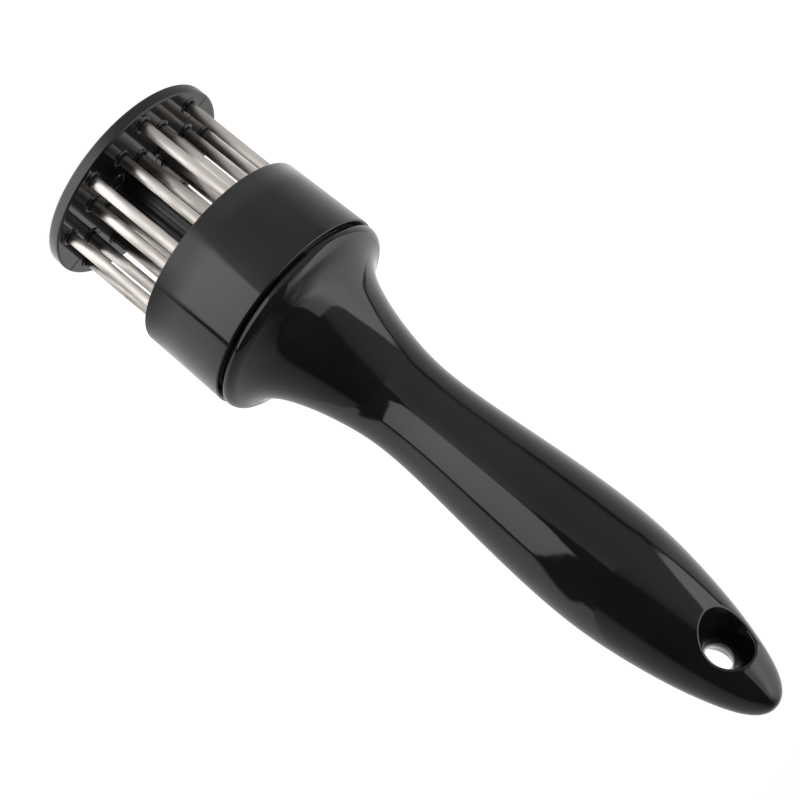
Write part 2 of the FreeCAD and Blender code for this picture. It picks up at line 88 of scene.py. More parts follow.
POST_RADIUS = 5.0
POST_TOP = 47.55
POST_EASE = 0.4
PILOT_RADIUS = 1.5
UPPER_PILOT_DEPTH = 15.0
POST_SCREW_BOTTOM = 0.3
POST_SCREW_TOP = 13.3
POST_SCREW_HEAD_RADIUS = 3.6
POST_SCREW_HEAD_HEIGHT = 2.0
POST_SCREW_SHANK_RADIUS = 1.75
HEAD_SCREW_BOTTOM = 32.2
HEAD_SCREW_SEAT = 34.6
HEAD_SCREW_TOP = 56.6
HEAD_SCREW_HEAD_RADIUS = 2.8
HEAD_SCREW_SHANK_RADIUS = 1.45
SCREW_EASE = 0.25
SCREW_POINT = 1.0
RECESS_LENGTH = 3.4
RECESS_WIDTH = 0.8
RECESS_DEPTH = 1.0

SPIGOT_RADIUS = 25.0
SPIGOT_BOTTOM = 47.4
BELL_BOTTOM = 56.75
RIM_RADIUS = 26.85
RIM_ROUND = 0.3
SHOULDER_RADIUS = 2.65
SHOULDER_TURN = math.radians(73.0)
LEAD_LENGTH = 5.0
SIDE_POLES = (
    (16.05, 13.2), (13.45, 23.2), (11.35, 35.2), (12.55, 53.2), (14.7, 75.2),
    (15.65, 97.2), (13.15, 115.2), (10.0, 130.2), (4.85, 143.5), (0.0, 143.5),
)
SPRING_BORE_RADIUS = 7.4
CORE_RADIUS = 5.0
CORE_TOP = 163.75
BELL_CORE_INNER = 10.4
BELL_CORE_OUTER = 22.5
BELL_CORE_TOP = 57.75
BOSS_RADIUS = 3.5
BOSS_SINK = 0.5
HANGING_HOLE_HEIGHT = 183.65
THROAT_RADIUS = 3.45
THROAT_LENGTH = 1.6
FUNNEL_ANGLE = math.radians(21.3)
FUNNEL_REACH = 7.0
MOUTH_ROUND = 0.6
NOSE_REACH = 20.0

SPRING_BOTTOM = 48.75
SPRING_TOP = 108.75
SPRING_MEAN_RADIUS = 6.0
SPRING_WIRE = 1.2
SPRING_TURNS = 13
CLOSED_PITCH = 1.02

# Steps of curved surfaces, and angles over which an edge stays sharp.
EDGE_STEPS = 6
MOUTH_STEPS = 4
LIP_STEPS = 8
FUNNEL_STEPS = 5
SHARP_ANGLE = math.radians(34.0)
NEEDLE_SHARP_ANGLE = math.radians(40.0)
COIL_SHARP_ANGLE = math.radians(50.0)

# Points nearer than this are one point, in metres.
ONE_POINT = 1.0e-6


# ---- node trees

def fill_inputs(made, inputs):
    """An input that is given a socket is joined to it, any other value is set."""
    for key, value in inputs.items():
        socket = made.inputs[key]
        if isinstance(value, bpy.types.NodeSocket):
            made.id_data.links.new(value, socket)
        else:
            socket.default_value = value


def node(near, kind, inputs=None, **settings):
    """Adds one node to a tree, or to the tree of a socket; some settings change its inputs."""
    made = near.id_data.nodes.new(kind)
    for name, value in settings.items():
        setattr(made, name, value)
    fill_inputs(made, inputs or {})
    return made


def first_of(near, kind, inputs=None, **settings):
    """The first output of a new node."""
    return node(near, kind, inputs, **settings).outputs[0]


def math_node(operation, *values):
    """A Math node's result, in the tree of the first value that is a socket."""
    near = next(value for value in values if isinstance(value, bpy.types.NodeSocket))
    return first_of(near, "ShaderNodeMath", dict(enumerate(values)), operation=operation)


def plus(first, second):
    return math_node("ADD", first, second)


def minus(first, second):
    return math_node("SUBTRACT", first, second)


def times(first, *others):
    for other in others:
        first = math_node("MULTIPLY", first, other)
    return first


def between(value, low, high, start=0.0, end=1.0, smooth=True):
    """Eases from start to end while the value goes from low to high."""
    inputs = {"Value": value, "From Min": low, "From Max": high, "To Min": start, "To Max": end}
    style = "SMOOTHSTEP" if smooth else "LINEAR"
    return node(value, "ShaderNodeMapRange", inputs, interpolation_type=style).outputs["Result"]


def fading(value, low, high):
    """1 up to low, eased to 0 at high."""
    return between(value, low, high, 1.0, 0.0)


def band(value, rise, fall):
    """Eased up to 1 over the rise and back to 0 over the fall, each a (low, high) pair."""
    return times(between(value, *rise), fading(value, *fall))


SOCKET_KINDS = {float: "NodeSocketFloat", int: "NodeSocketInt"}
MATERIAL_SOCKET = "NodeSocketMaterial"


def new_shape_tree(name, sizes):
    """The named inputs of a new geometry tree; one without a size gives its socket's kind."""
    tree = bpy.data.node_groups.new(name, "GeometryNodeTree")
    face = tree.interface
    for label, size in {"Geometry": "NodeSocketGeometry", **sizes}.items():
        kind = SOCKET_KINDS.get(type(size), size)
        socket = face.new_socket(label, in_out="INPUT", socket_type=kind)
        if kind != size:
            socket.default_value = size
    face.new_socket("Geometry", in_out="OUTPUT", socket_type="NodeSocketGeometry")
    return node(tree, "NodeGroupInput").outputs


def end_tree(geometry):
    node(geometry, "NodeGroupOutput", {0: geometry})
    return geometry.id_data


def realized(geometry):
    return first_of(geometry, "GeometryNodeRealizeInstances", {"Geometry": geometry})


def finish_tree(geometry, given):
    """Every shape tree ends in Realize Instances and Set Material."""
    inputs = {"Geometry": realized(geometry), "Material": given["Material"]}
    return end_tree(first_of(geometry, "GeometryNodeSetMaterial", inputs))


def point_index(near):
    return first_of(near, "GeometryNodeInputIndex")


def compared(operation, first, second):
    inputs = {2: first, 3: second}
    return first_of(first, "FunctionNodeCompare", inputs, data_type="INT", operation=operation)


def only_outline(geometry, number):
    """The one outline whose number is asked for, out of all that came in."""
    mark = node(geometry, "GeometryNodeInputNamedAttribute", {"Name": "outline"}, data_type="INT")
    match = compared("EQUAL", mark.outputs["Attribute"], number)
    inputs = {"Geometry": geometry, "Selection": match}
    return node(geometry, "GeometryNodeSeparateGeometry", inputs, domain="POINT").outputs["Selection"]


def point_count(outline):
    found = node(outline, "GeometryNodeAttributeDomainSize", {"Geometry": outline}, component="MESH")
    return found.outputs["Point Count"]


def parts_of(vector):
    """X, Y and Z of a vector, by their names."""
    return node(vector, "ShaderNodeSeparateXYZ", {"Vector": vector}).outputs


def outline_point(outline, index):
    """Radius and height of one point of an outline."""
    place = first_of(outline, "GeometryNodeInputPosition")
    found = node(
        outline, "GeometryNodeSampleIndex", {"Geometry": outline, "Value": place, "Index": index},
        data_type="FLOAT_VECTOR", domain="POINT",
    )
    parts = parts_of(found.outputs[0])
    return parts["X"], parts["Z"]


def round_place(radius, angle, height=0.0):
    """A place at a radius from the Z axis and an angle round it."""
    x = times(radius, math_node("COSINE", angle))
    y = times(radius, math_node("SINE", angle))
    return first_of(x, "ShaderNodeCombineXYZ", {"X": x, "Y": y, "Z": height})


def moved_to(geometry, spot):
    inputs = {"Geometry": geometry, "Position": spot}
    return first_of(geometry, "GeometryNodeSetPosition", inputs)


def merged(geometry, distance):
    inputs = {"Geometry": geometry, "Distance": distance}
    return first_of(geometry, "GeometryNodeMergeByDistance", inputs)


def turned_group():
    """Turns an outline of (radius, 0, height) points about the Z axis."""
    given = new_shape_tree("Turned Outline", {"Steps Around": 96})
    outline = given["Geometry"]
    steps = given["Steps Around"]
    around = plus(steps, 1.0)
    size = {"Vertices X": point_count(outline), "Vertices Y": around}
    grid = node(outline, "GeometryNodeMeshGrid", size).outputs["Mesh"]
    index = point_index(outline)
    along = math_node("FLOOR", math_node("DIVIDE", index, around))
    turn = minus(index, times(along, around))
    radius, height = outline_point(outline, along)
    angle = times(math_node("DIVIDE", turn, steps), FULL_TURN)
    spot = round_place(radius, angle, height)
    return end_tree(merged(moved_to(grid, spot), ONE_POINT))


TURNED = turned_group()


def turned(outline, steps):
    inputs = {"Geometry": outline, "Steps Around": steps}
    return first_of(outline, "GeometryNodeGroup", inputs, node_tree=TURNED)


def ring_points(radius, places, start=0.0):
    """The places of one ring; start is how far round the first one stands, in steps."""
    share = math_node("DIVIDE", plus(point_index(radius), start), places)
    spot = round_place(radius, times(share, FULL_TURN))
    return first_of(radius, "GeometryNodePoints", {"Count": places, "Position": spot})


def set_at(points, shape, leave_out=None):
    """One copy of the shape at each point, except at the place that is left out."""
    inputs = {"Points": points, "Instance": shape}
    if leave_out is not None:
        inputs["Selection"] = compared("NOT_EQUAL", point_index(points), leave_out)
    return first_of(points, "GeometryNodeInstanceOnPoints", inputs)


def joined(shapes):
    group = node(shapes[0], "GeometryNodeJoinGeometry")
    for shape in reversed(shapes):
        fill_inputs(group, {0: shape})
    return group.outputs[0]


def lifted(shape, height):
    lift = first_of(shape, "ShaderNodeCombineXYZ", {"Z": height})
    return first_of(shape, "GeometryNodeTransform", {"Geometry": shape, "Translation": lift})


def boolean(operation, others, first=None):
    """The exact boolean of the other shapes, and of the first one where there is one."""
    made = node(others[0], "GeometryNodeMeshBoolean", operation=operation, solver="EXACT")
    if first is not None:
        fill_inputs(made, {"Mesh 1": first})
    for shape in others:
        fill_inputs(made, {"Mesh 2": shape})
    return made.outputs["Mesh"]


def outline_end(outline, last):
    """Radius and height of an outline's first or last point."""
    index = minus(point_count(outline), 1.0) if last else 0
    return outline_point(outline, index)


def curve_ring(radius, steps):
    inputs = {"Resolution": steps, "Radius": radius}
    return first_of(radius, "GeometryNodeCurvePrimitiveCircle", inputs)


RING_SIZES = {
    "Outer Ring": OUTER_RING * MM,
    "Middle Ring": MIDDLE_RING * MM,
    "Inner Ring": INNER_RING * MM,
    "Ring Places": RING_PLACES,
}


def needle_rings(given):
    """Places of the outer, middle and inner needles; the middle ones stand half a step round."""
    return [
        ring_points(given[ring], given["Ring Places"], start)
        for ring, start in (("Outer Ring", 0.0), ("Middle Ring", 0.5), ("Inner Ring", 0.0))
    ]


def laid_out(shapes, places):
    """Each shape at its own places, or in the middle where it has none."""
    pairs = zip(shapes, places)
    return [shape if points is None else set_at(points, shape) for shape, points in pairs]


def pierced_tree():
    """A round moulding with needle holes in three rings, a centre hole and a ring of screw holes.

    Its outlines are numbered: 0 the outer wall, 1 a needle hole, 2 the centre hole, 3 a screw hole.
    Each one runs from the lower flat face to the upper one.
    """
    given = new_shape_tree("Pierced Moulding", {
        **RING_SIZES,
        "Screw Ring": SCREW_RING * MM,
        "Screw Places": SCREW_PLACES,
        "Wall Steps": 192,
        "Hole Steps": 48,
        "Material": MATERIAL_SOCKET,
    })
    outlines = [only_outline(given["Geometry"], number) for number in range(4)]
    steps = [given["Wall Steps"]] + 3 * [given["Hole Steps"]]
    needles = joined(needle_rings(given))
    screws = ring_points(given["Screw Ring"], given["Screw Places"])
    places = (None, needles, None, screws)
    walls = [turned(outline, count) for outline, count in zip(outlines, steps)]
    shells = laid_out(walls, places)
    for last in (False, True):
        ends = [outline_end(outline, last) for outline in outlines]
        edges = [curve_ring(radius, count) for (radius, _), count in zip(ends, steps)]
        curves = realized(joined(laid_out(edges, places)))
        face = first_of(curves, "GeometryNodeFillCurve", {"Curve": curves})
        wall_height = ends[0][1]
        shells.append(lifted(face, wall_height))
    whole = merged(realized(joined(shells)), 2.0 * ONE_POINT)
    return finish_tree(whole, given)


def needle_tree():
    """One needle, set at the places of three rings; one place of the inner ring stays empty."""
    given = new_shape_tree("Needle Set", {
        **RING_SIZES,
        "Empty Place": RING_PLACES - 1,
        "Steps Around": 56,
        "Material": MATERIAL_SOCKET,
    })
    pin = turned(given["Geometry"], given["Steps Around"])
    outer, middle, inner = needle_rings(given)
    needles = [set_at(outer, pin), set_at(middle, pin), set_at(inner, pin, given["Empty Place"])]
    return finish_tree(joined(needles), given)


def turned_tree():
    given = new_shape_tree("Turned Piece", {"Steps Around": 96, "Material": MATERIAL_SOCKET})
    return finish_tree(turned(given["Geometry"], given["Steps Around"]), given)


def screw_tree():
    """Turned screws with a crossed recess in the underside of the head, set round a ring."""
    given = new_shape_tree("Crossed Screws", {
        "Head Face": 0.0,
        "Recess Length": RECESS_LENGTH * MM,
        "Recess Width": RECESS_WIDTH * MM,
        "Recess Depth": RECESS_DEPTH * MM,
        "Ring Radius": 0.0,
        "Places": 1,
        "Steps Around": 64,
        "Material": MATERIAL_SOCKET,
    })
    screw = turned(given["Geometry"], given["Steps Around"])
    deep = times(given["Recess Depth"], 2.0)
    bars = []
    for long_side, short_side in (("X", "Y"), ("Y", "X")):
        sides = {long_side: given["Recess Length"], short_side: given["Recess Width"], "Z": deep}
        size = first_of(deep, "ShaderNodeCombineXYZ", sides)
        bar = first_of(size, "GeometryNodeMeshCube", {"Size": size})
        bars.append(lifted(bar, given["Head Face"]))
    cut = boolean("DIFFERENCE", bars, screw)
    ring = ring_points(given["Ring Radius"], given["Places"])
    return finish_tree(set_at(ring, cut), given)


def spring_tree():
    """Wire swept along a coil whose end turns lie closed."""
    given = new_shape_tree("Coil Spring", {
        "Mean Radius": SPRING_MEAN_RADIUS * MM,
        "Wire": SPRING_WIRE * MM,
        "Bottom": SPRING_BOTTOM * MM,
        "Top": SPRING_TOP * MM,
        "Turns": SPRING_TURNS,
        "Steps per Turn": 40,
        "Sides of Wire": 14,
        "Material": MATERIAL_SOCKET,
    })
    count = plus(times(given["Turns"], given["Steps per Turn"]), 1.0)
    line = first_of(count, "GeometryNodeMeshLine", {"Count": count}, mode="OFFSET")
    turn = math_node("DIVIDE", point_index(count), given["Steps per Turn"])
    last = minus(given["Turns"], 1.0)
    half = times(given["Wire"], 0.5)
    closed = times(given["Wire"], CLOSED_PITCH)
    low = plus(given["Bottom"], half)
    high = minus(given["Top"], half)
    span = minus(high, plus(low, times(closed, 2.0)))
    open_rise = times(span, between(turn, 1.0, last, smooth=False))
    first_rise = times(math_node("MINIMUM", turn, 1.0), closed)
    end_rise = times(math_node("MAXIMUM", minus(turn, last), 0.0), closed)
    height = plus(plus(low, open_rise), plus(first_rise, end_rise))
    spot = round_place(given["Mean Radius"], times(turn, FULL_TURN), height)
    curve = first_of(line, "GeometryNodeMeshToCurve", {"Mesh": moved_to(line, spot)})
    section = curve_ring(half, given["Sides of Wire"])
    inputs = {"Curve": curve, "Profile Curve": section, "Fill Caps": True}
    return finish_tree(first_of(curve, "GeometryNodeCurveToMesh", inputs), given)


# ---- making meshes

def placed(name, data):
    """A new object of the scene that holds the data."""
    made = bpy.data.objects.new(name, data)
    bpy.context.scene.collection.objects.link(made)
    return made


def outline_mesh(name, outlines):
    """Numbered outlines of (radius, height) points in millimetres as one mesh of lines."""
    points = []
    edges = []
    numbers = []
    for number, outline in enumerate(outlines):
        start = len(points)
        points += [(radius * MM, 0.0, height * MM) for radius, height in outline]
        edges += [(start + i, start + i + 1) for i in range(len(outline) - 1)]
        numbers += [number] * len(outline)
    mesh = bpy.data.meshes.new(name)
    mesh.from_pydata(points, edges, [])
    mark = mesh.attributes.new("outline", "INT", "POINT")
    mark.data.foreach_set("value", numbers)
    return mesh


def shaped(name, outlines, tree, **settings):
    """Runs a shape tree on outlines and keeps the result as a plain mesh piece."""
    piece = placed(name, outline_mesh(name, outlines))
    modifier = piece.modifiers.new("shape", "NODES")
    modifier.node_group = tree
    values = {key.replace("_", " ").title(): value for key, value in settings.items()}
    for item in tree.interface.items_tree:
        if item.item_type == "SOCKET" and item.in_out == "INPUT" and item.name in values:
            modifier[item.identifier] = values[item.name]
    graph = bpy.context.evaluated_depsgraph_get()
    mesh = bpy.data.meshes.new_from_object(
        piece.evaluated_get(graph), preserve_all_data_layers=True, depsgraph=graph,
    )
    piece.modifiers.clear()
    piece.data = mesh
    mesh.name = name
    return piece


def tidy_surface(piece, sharp=SHARP_ANGLE):
    """Faces outwards, smooth where the surface runs on and sharp at its corners."""
    mesh = piece.data
    work = bmesh.new()
    work.from_mesh(mesh)
    bmesh.ops.remove_doubles(work, verts=work.verts, dist=ONE_POINT)
    bmesh.ops.recalc_face_normals(work, faces=work.faces)
    work.to_mesh(mesh)
    work.free()
    mark = mesh.attributes.get("outline")
    if mark is not None:
        mesh.attributes.remove(mark)
    mesh.shade_smooth()
    mesh.set_sharp_from_angle(angle=sharp)


def quarter(centre, radius, start, end, steps=EDGE_STEPS):
    """Points of an arc about a (radius, height) centre, angles in degrees."""
    points = []
    for step in range(steps + 1):
        angle = math.radians(start + (end - start) * step / steps)
        points.append((centre[0] + radius * math.cos(angle), centre[1] + radius * math.sin(angle)))
    return points


def side_line(poles, steps):
    """The handle's side between the shoulder and the nose, as one smooth curve."""
    curve = bpy.data.curves.new("side", "CURVE")
    curve.dimensions = "3D"
    curve.resolution_u = steps
    spline = curve.splines.new("NURBS")
    spline.points.add(len(poles) - 1)
    for point, (radius, height) in zip(spline.points, poles):
        point.co = (radius, 0.0, height, 1.0)
    spline.order_u = 4
    spline.use_endpoint_u = True
    holder = placed("side", curve)
    graph = bpy.context.evaluated_depsgraph_get()
    mesh = bpy.data.meshes.new_from_object(holder.evaluated_get(graph))
    line = [(vertex.co.x, vertex.co.z) for vertex in mesh.vertices]
    bpy.data.objects.remove(holder)
    if line[0][1] > line[-1][1]:
        line.reverse()
    return line


# ---- outlines

def needle_outline():
    cone = NEEDLE_TIP + NEEDLE_POINT
    slope = NEEDLE_POINT / NEEDLE_RADIUS
    ease = NEEDLE_EASE
    return [
        (0.0, NEEDLE_TIP),
        (NEEDLE_RADIUS - ease, cone - ease * slope),
        (NEEDLE_RADIUS - 0.35 * ease, cone - 0.2 * ease * slope),
        (NEEDLE_RADIUS, cone + ease),
        (NEEDLE_RADIUS, HEAD_BOTTOM - 6.0), (NEEDLE_RADIUS, HEAD_FLOOR),
        (NEEDLE_HEAD_RADIUS, HEAD_FLOOR), (NEEDLE_HEAD_RADIUS, NEEDLE_TOP), (0.0, NEEDLE_TOP),
    ]


def wall_edges(lower, upper, bottom, top, ease):
    """The rounded lower and upper edge of an outer wall, each with a short flat beside it."""
    low = quarter((lower - ease, bottom + ease), ease, -90.0, 0.0)
    high = quarter((upper - ease, top - ease), ease, 0.0, 90.0)
    return (
        [(lower - ease - EDGE_FLAT, bottom)] + low,
        high + [(upper - ease - EDGE_FLAT, top)],
    )


def hole_mouth(radius, bottom, ease, flat, steps=MOUTH_STEPS):
    """The lower mouth of a hole, from a short flat beside it round into the hole."""
    centre = (radius + ease, bottom + ease)
    return [(radius + ease + flat, bottom)] + quarter(centre, ease, -90.0, -180.0, steps)


def guard_outlines():
    low, high = wall_edges(GUARD_RADIUS, GUARD_RADIUS, 0.0, GUARD_THICK, GUARD_EDGE_ROUND)
    wall = low + [(GUARD_RADIUS, 0.5 * GUARD_THICK)] + high
    lip = NEEDLE_HOLE_RADIUS + LIP_ROUND
    needle_hole = (
        hole_mouth(NEEDLE_HOLE_RADIUS, 0.0, GUARD_MOUTH_ROUND, flat=0.08, steps=3)
        + quarter((lip, GUARD_THICK), LIP_ROUND, 180.0, 14.0, steps=16)
        + [(lip + LIP_ROUND + flat, GUARD_THICK) for flat in (0.06, 0.12)]
    )
    chamfer = 0.15
    sink = POST_SCREW_HEAD_RADIUS + 0.15
    bore = POST_SCREW_SHANK_RADIUS + 0.2
    centre_hole = [
        (sink + chamfer, 0.0), (sink, chamfer), (sink, POST_SCREW_BOTTOM),
        (bore, POST_SCREW_BOTTOM + POST_SCREW_HEAD_HEIGHT), (bore, GUARD_THICK),
    ]
    return wall, needle_hole, centre_hole


def head_outlines():
    low, high = wall_edges(HEAD_BOTTOM_RADIUS, HEAD_TOP_RADIUS, HEAD_BOTTOM, HEAD_TOP, HEAD_ROUND)
    wall = low + high + [
        (HEAD_BORE_RADIUS + HEAD_BORE_CHAMFER, HEAD_TOP),
        (HEAD_BORE_RADIUS, HEAD_TOP - HEAD_BORE_CHAMFER),
        (HEAD_BORE_RADIUS, HEAD_FLOOR),
        (HEAD_BORE_RADIUS - 0.3, HEAD_FLOOR),
    ]
    needle_mouth, post_mouth, screw_mouth = [
        hole_mouth(radius, HEAD_BOTTOM, HEAD_MOUTH_ROUND, flat=0.1)
        for radius in (NEEDLE_SEAT_RADIUS, POST_HOLE_RADIUS, SINK_RADIUS)
    ]
    sink_top = HEAD_BOTTOM + SINK_DEPTH
    return (
        wall,
        needle_mouth + [(NEEDLE_SEAT_RADIUS, HEAD_FLOOR)],
        post_mouth + [(POST_HOLE_RADIUS, HEAD_FLOOR)],
        screw_mouth + [
            (SINK_RADIUS, sink_top), (SCREW_HOLE_RADIUS, sink_top), (SCREW_HOLE_RADIUS, HEAD_FLOOR),
        ],
    )


def post_outline():
    screw_end = POST_SCREW_TOP + 0.5
    upper_pilot = POST_TOP - UPPER_PILOT_DEPTH
    return [
        (0.0, screw_end), (PILOT_RADIUS, screw_end), (PILOT_RADIUS, GUARD_THICK),
        (POST_RADIUS, GUARD_THICK),
        (POST_RADIUS, 0.5 * (GUARD_THICK + POST_TOP)),
        (POST_RADIUS, POST_TOP - POST_EASE), (POST_RADIUS - POST_EASE, POST_TOP),
        (PILOT_RADIUS, POST_TOP), (PILOT_RADIUS, upper_pilot), (0.0, upper_pilot),
    ]


def screw_outline(head_bottom, seat, top, head_radius, shank_radius, countersunk):
    rim = [(head_radius, head_bottom + SCREW_EASE)]
    if not countersunk:
        rim.append((head_radius, seat))
    return [(0.0, head_bottom), (head_radius - SCREW_EASE, head_bottom)] + rim + [
        (shank_radius, seat), (shank_radius, top - SCREW_POINT), (0.5 * shank_radius, top), (0.0, top),
    ]


def handle_side():
    """From the rim over the shoulder and up the side to the nose."""
    low = BELL_BOTTOM + RIM_ROUND
    rim = quarter((RIM_RADIUS - RIM_ROUND, low), RIM_ROUND, -90.0, 0.0, steps=4)
    centre = (RIM_RADIUS - SHOULDER_RADIUS, low)
    shoulder = quarter(centre, SHOULDER_RADIUS, 0.0, math.degrees(SHOULDER_TURN), steps=14)
    end = shoulder[-1]
    lead = (
        end[0] - LEAD_LENGTH * math.sin(SHOULDER_TURN),
        end[1] + LEAD_LENGTH * math.cos(SHOULDER_TURN),
    )
    poles = [end, lead] + [(radius, BELL_BOTTOM + height) for radius, height in SIDE_POLES]
    return rim + shoulder[1:] + side_line(poles, steps=26)[1:]


def handle_outline(side):
    inside = [
        (0.0, CORE_TOP), (CORE_RADIUS, CORE_TOP),
        (CORE_RADIUS, SPRING_TOP), (SPRING_BORE_RADIUS, SPRING_TOP),
        (SPRING_BORE_RADIUS, SPIGOT_BOTTOM), (BELL_CORE_INNER, SPIGOT_BOTTOM),
        (BELL_CORE_INNER, BELL_CORE_TOP), (BELL_CORE_OUTER, BELL_CORE_TOP),
        (BELL_CORE_OUTER, SPIGOT_BOTTOM), (SPIGOT_RADIUS, SPIGOT_BOTTOM),
        (SPIGOT_RADIUS, BELL_BOTTOM),
    ]
    return inside + side


# ---- hanging hole

class NoseSurface:
    """Where the handle's turned surface lies in front of a point of its middle plane."""

    def __init__(self, side):
        self.line = [point for point in side if point[1] > HANGING_HOLE_HEIGHT - NOSE_REACH]

    def radius(self, height):
        for low, high in zip(self.line, self.line[1:]):
            if low[1] <= height <= high[1]:
                share = (height - low[1]) / max(high[1] - low[1], 1.0e-9)
                return low[0] + share * (high[0] - low[0])
        return 0.0

    def depth(self, out, angle):
        """Distance in front of the middle plane, out from the hole's axis at an angle round it."""
        x = out * math.cos(angle)
        radius = self.radius(HANGING_HOLE_HEIGHT + out * math.sin(angle))
        return math.sqrt(max(radius * radius - x * x, 0.0))

    def mouth(self, angle):
        """Out and depth of the sharp edge between the funnel and the outer surface, by halving."""
        low, high = THROAT_RADIUS, THROAT_RADIUS + FUNNEL_REACH
        for _ in range(50):
            middle = 0.5 * (low + high)
            funnel = 0.5 * THROAT_LENGTH + (middle - THROAT_RADIUS) / math.tan(FUNNEL_ANGLE)
            if self.depth(middle, angle) > funnel:
                low = middle
            else:
                high = middle
        return low, self.depth(low, angle)

    def lip(self, angle):
        """The mouth's round as the four points of a curve, from the outer surface to the funnel."""
        out, depth = self.mouth(angle)
        step = 0.05
        slope = (self.depth(out + step, angle) - depth) / step
        along = Vector((1.0, slope)).normalized()
        inward = Vector((-math.sin(FUNNEL_ANGLE), -math.cos(FUNNEL_ANGLE)))
        corner = along.angle(inward)
        reach = MOUTH_ROUND / math.tan(0.5 * corner)
        start_out = out + reach * along.x
        start = Vector((start_out, self.depth(start_out, angle)))
        end = Vector((out, depth)) + reach * inward
        pull = (4.0 / 3.0) * math.tan(0.25 * (math.pi - corner)) * MOUTH_ROUND
        return start, start - pull * along, end - pull * inward, end


def hole_cutter(nose, steps=128):
    """A prism through the nose as wide as the outer edge of the mouth's round."""
    ring = []
    for step in range(steps):
        angle = FULL_TURN * step / steps
        out = nose.lip(angle)[0].x
        ring.append((out * math.cos(angle), HANGING_HOLE_HEIGHT + out * math.sin(angle)))
    points = [(x * MM, y * MM, z * MM) for y in (-NOSE_REACH, NOSE_REACH) for x, z in ring]
    faces = [tuple(range(steps)), tuple(range(2 * steps - 1, steps - 1, -1))]
    for step in range(steps):
        after = (step + 1) % steps
        faces.append((after, step, steps + step, steps + after))
    mesh = bpy.data.meshes.new("hole_cutter")
    mesh.from_pydata(points, [], faces)
    mark = mesh.attributes.new("cut_wall", "BOOLEAN", "FACE")
    mark.data.foreach_set("value", [True] * len(faces))
    return placed("hole_cutter", mesh)


def pierced_handle_tree():
    """The turned handle with screw bosses in its bell, cut through by the hanging hole's prism."""
    given = new_shape_tree("Turned Handle", {
        "Steps Around": 192,
        "Boss Radius": BOSS_RADIUS * MM,
        "Boss Ring": SCREW_RING * MM,
        "Boss Bottom": SPIGOT_BOTTOM * MM,
        "Boss Top": (BELL_CORE_TOP + BOSS_SINK) * MM,
        "Boss Places": SCREW_PLACES,
        "Boss Sides": 40,
        "Hole Cutter": "NodeSocketObject",
        "Material": MATERIAL_SOCKET,
    })
    body = turned(given["Geometry"], given["Steps Around"])
    tall = minus(given["Boss Top"], given["Boss Bottom"])
    size = {"Vertices": given["Boss Sides"], "Radius": given["Boss Radius"], "Depth": tall}
    boss = node(tall, "GeometryNodeMeshCylinder", size).outputs["Mesh"]
    middle = times(plus(given["Boss Top"], given["Boss Bottom"]), 0.5)
    ring = ring_points(given["Boss Ring"], given["Boss Places"])
    bosses = realized(set_at(ring, lifted(boss, middle)))
    whole = boolean("UNION", [body, bosses])
    prism = node(tall, "GeometryNodeObjectInfo", {"Object": given["Hole Cutter"]}).outputs["Geometry"]
    return finish_tree(boolean("DIFFERENCE", [prism], whole), given)


def lining_line(nose, angle, start):
    """Points (out, depth) of the hole's wall at one angle, from the outer surface to the middle."""
    first, pull_in, pull_out, last = nose.lip(angle)
    pull_in = pull_in + (start - first)
    line = []
    for step in range(1, LIP_STEPS + 1):
        t = step / LIP_STEPS
        line.append(
            (1.0 - t) ** 3 * start + 3.0 * t * (1.0 - t) ** 2 * pull_in
            + 3.0 * t * t * (1.0 - t) * pull_out + t ** 3 * last
        )
    throat = Vector((THROAT_RADIUS, 0.5 * THROAT_LENGTH))
    for step in range(1, FUNNEL_STEPS + 1):
        line.append(last.lerp(throat, step / FUNNEL_STEPS))
    return line + [Vector((THROAT_RADIUS, 0.0))]


def all_of(work):
    return list(work.verts) + list(work.edges) + list(work.faces)


def line_hanging_hole(piece, nose):
    """Takes out the prism's walls and lines the front half of the hole, then mirrors that half."""
    mesh = piece.data
    work = bmesh.new()
    work.from_mesh(mesh)
    bmesh.ops.remove_doubles(work, verts=work.verts, dist=0.1 * ONE_POINT)
    wall = work.faces.layers.bool.get("cut_wall")
    bmesh.ops.delete(work, geom=[face for face in work.faces if face[wall]], context="FACES")
    bmesh.ops.bisect_plane(
        work, geom=all_of(work), dist=0.1 * ONE_POINT, plane_co=(0.0, 0.0, 0.0),
        plane_no=(0.0, 1.0, 0.0), clear_outer=True,
    )
    centre = HANGING_HOLE_HEIGHT * MM
    rim = set()
    for edge in work.edges:
        if edge.is_boundary and max(vert.co.y for vert in edge.verts) < -1.0 * MM:
            rim.update(edge.verts)
    columns = []
    for vert in sorted(rim, key=lambda vert: math.atan2(vert.co.z - centre, vert.co.x)):
        angle = math.atan2(vert.co.z - centre, vert.co.x)
        start = Vector((math.hypot(vert.co.x, vert.co.z - centre) / MM, -vert.co.y / MM))
        made = [vert]
        for out, depth in lining_line(nose, angle, start):
            spot = (out * math.cos(angle) * MM, -depth * MM, centre + out * math.sin(angle) * MM)
            made.append(work.verts.new(spot))
        columns.append(made)
    for here, there in zip(columns, columns[1:] + columns[:1]):
        for low in range(len(here) - 1):
            work.faces.new((here[low], there[low], there[low + 1], here[low + 1]))
    for copied in bmesh.ops.duplicate(work, geom=all_of(work))["geom"]:
        if isinstance(copied, bmesh.types.BMVert):
            copied.co.y = -copied.co.y
    bmesh.ops.remove_doubles(work, verts=work.verts, dist=0.5 * ONE_POINT)
    work.to_mesh(mesh)
    work.free()
    mesh.attributes.remove(mesh.attributes["cut_wall"])


# ---- materials

def new_material(name):
    material = bpy.data.materials.new(name)
    material.use_nodes = True
    tree = material.node_tree
    place = node(tree, "ShaderNodeTexCoord").outputs["Object"]
    return material, tree.nodes["Principled BSDF"], place


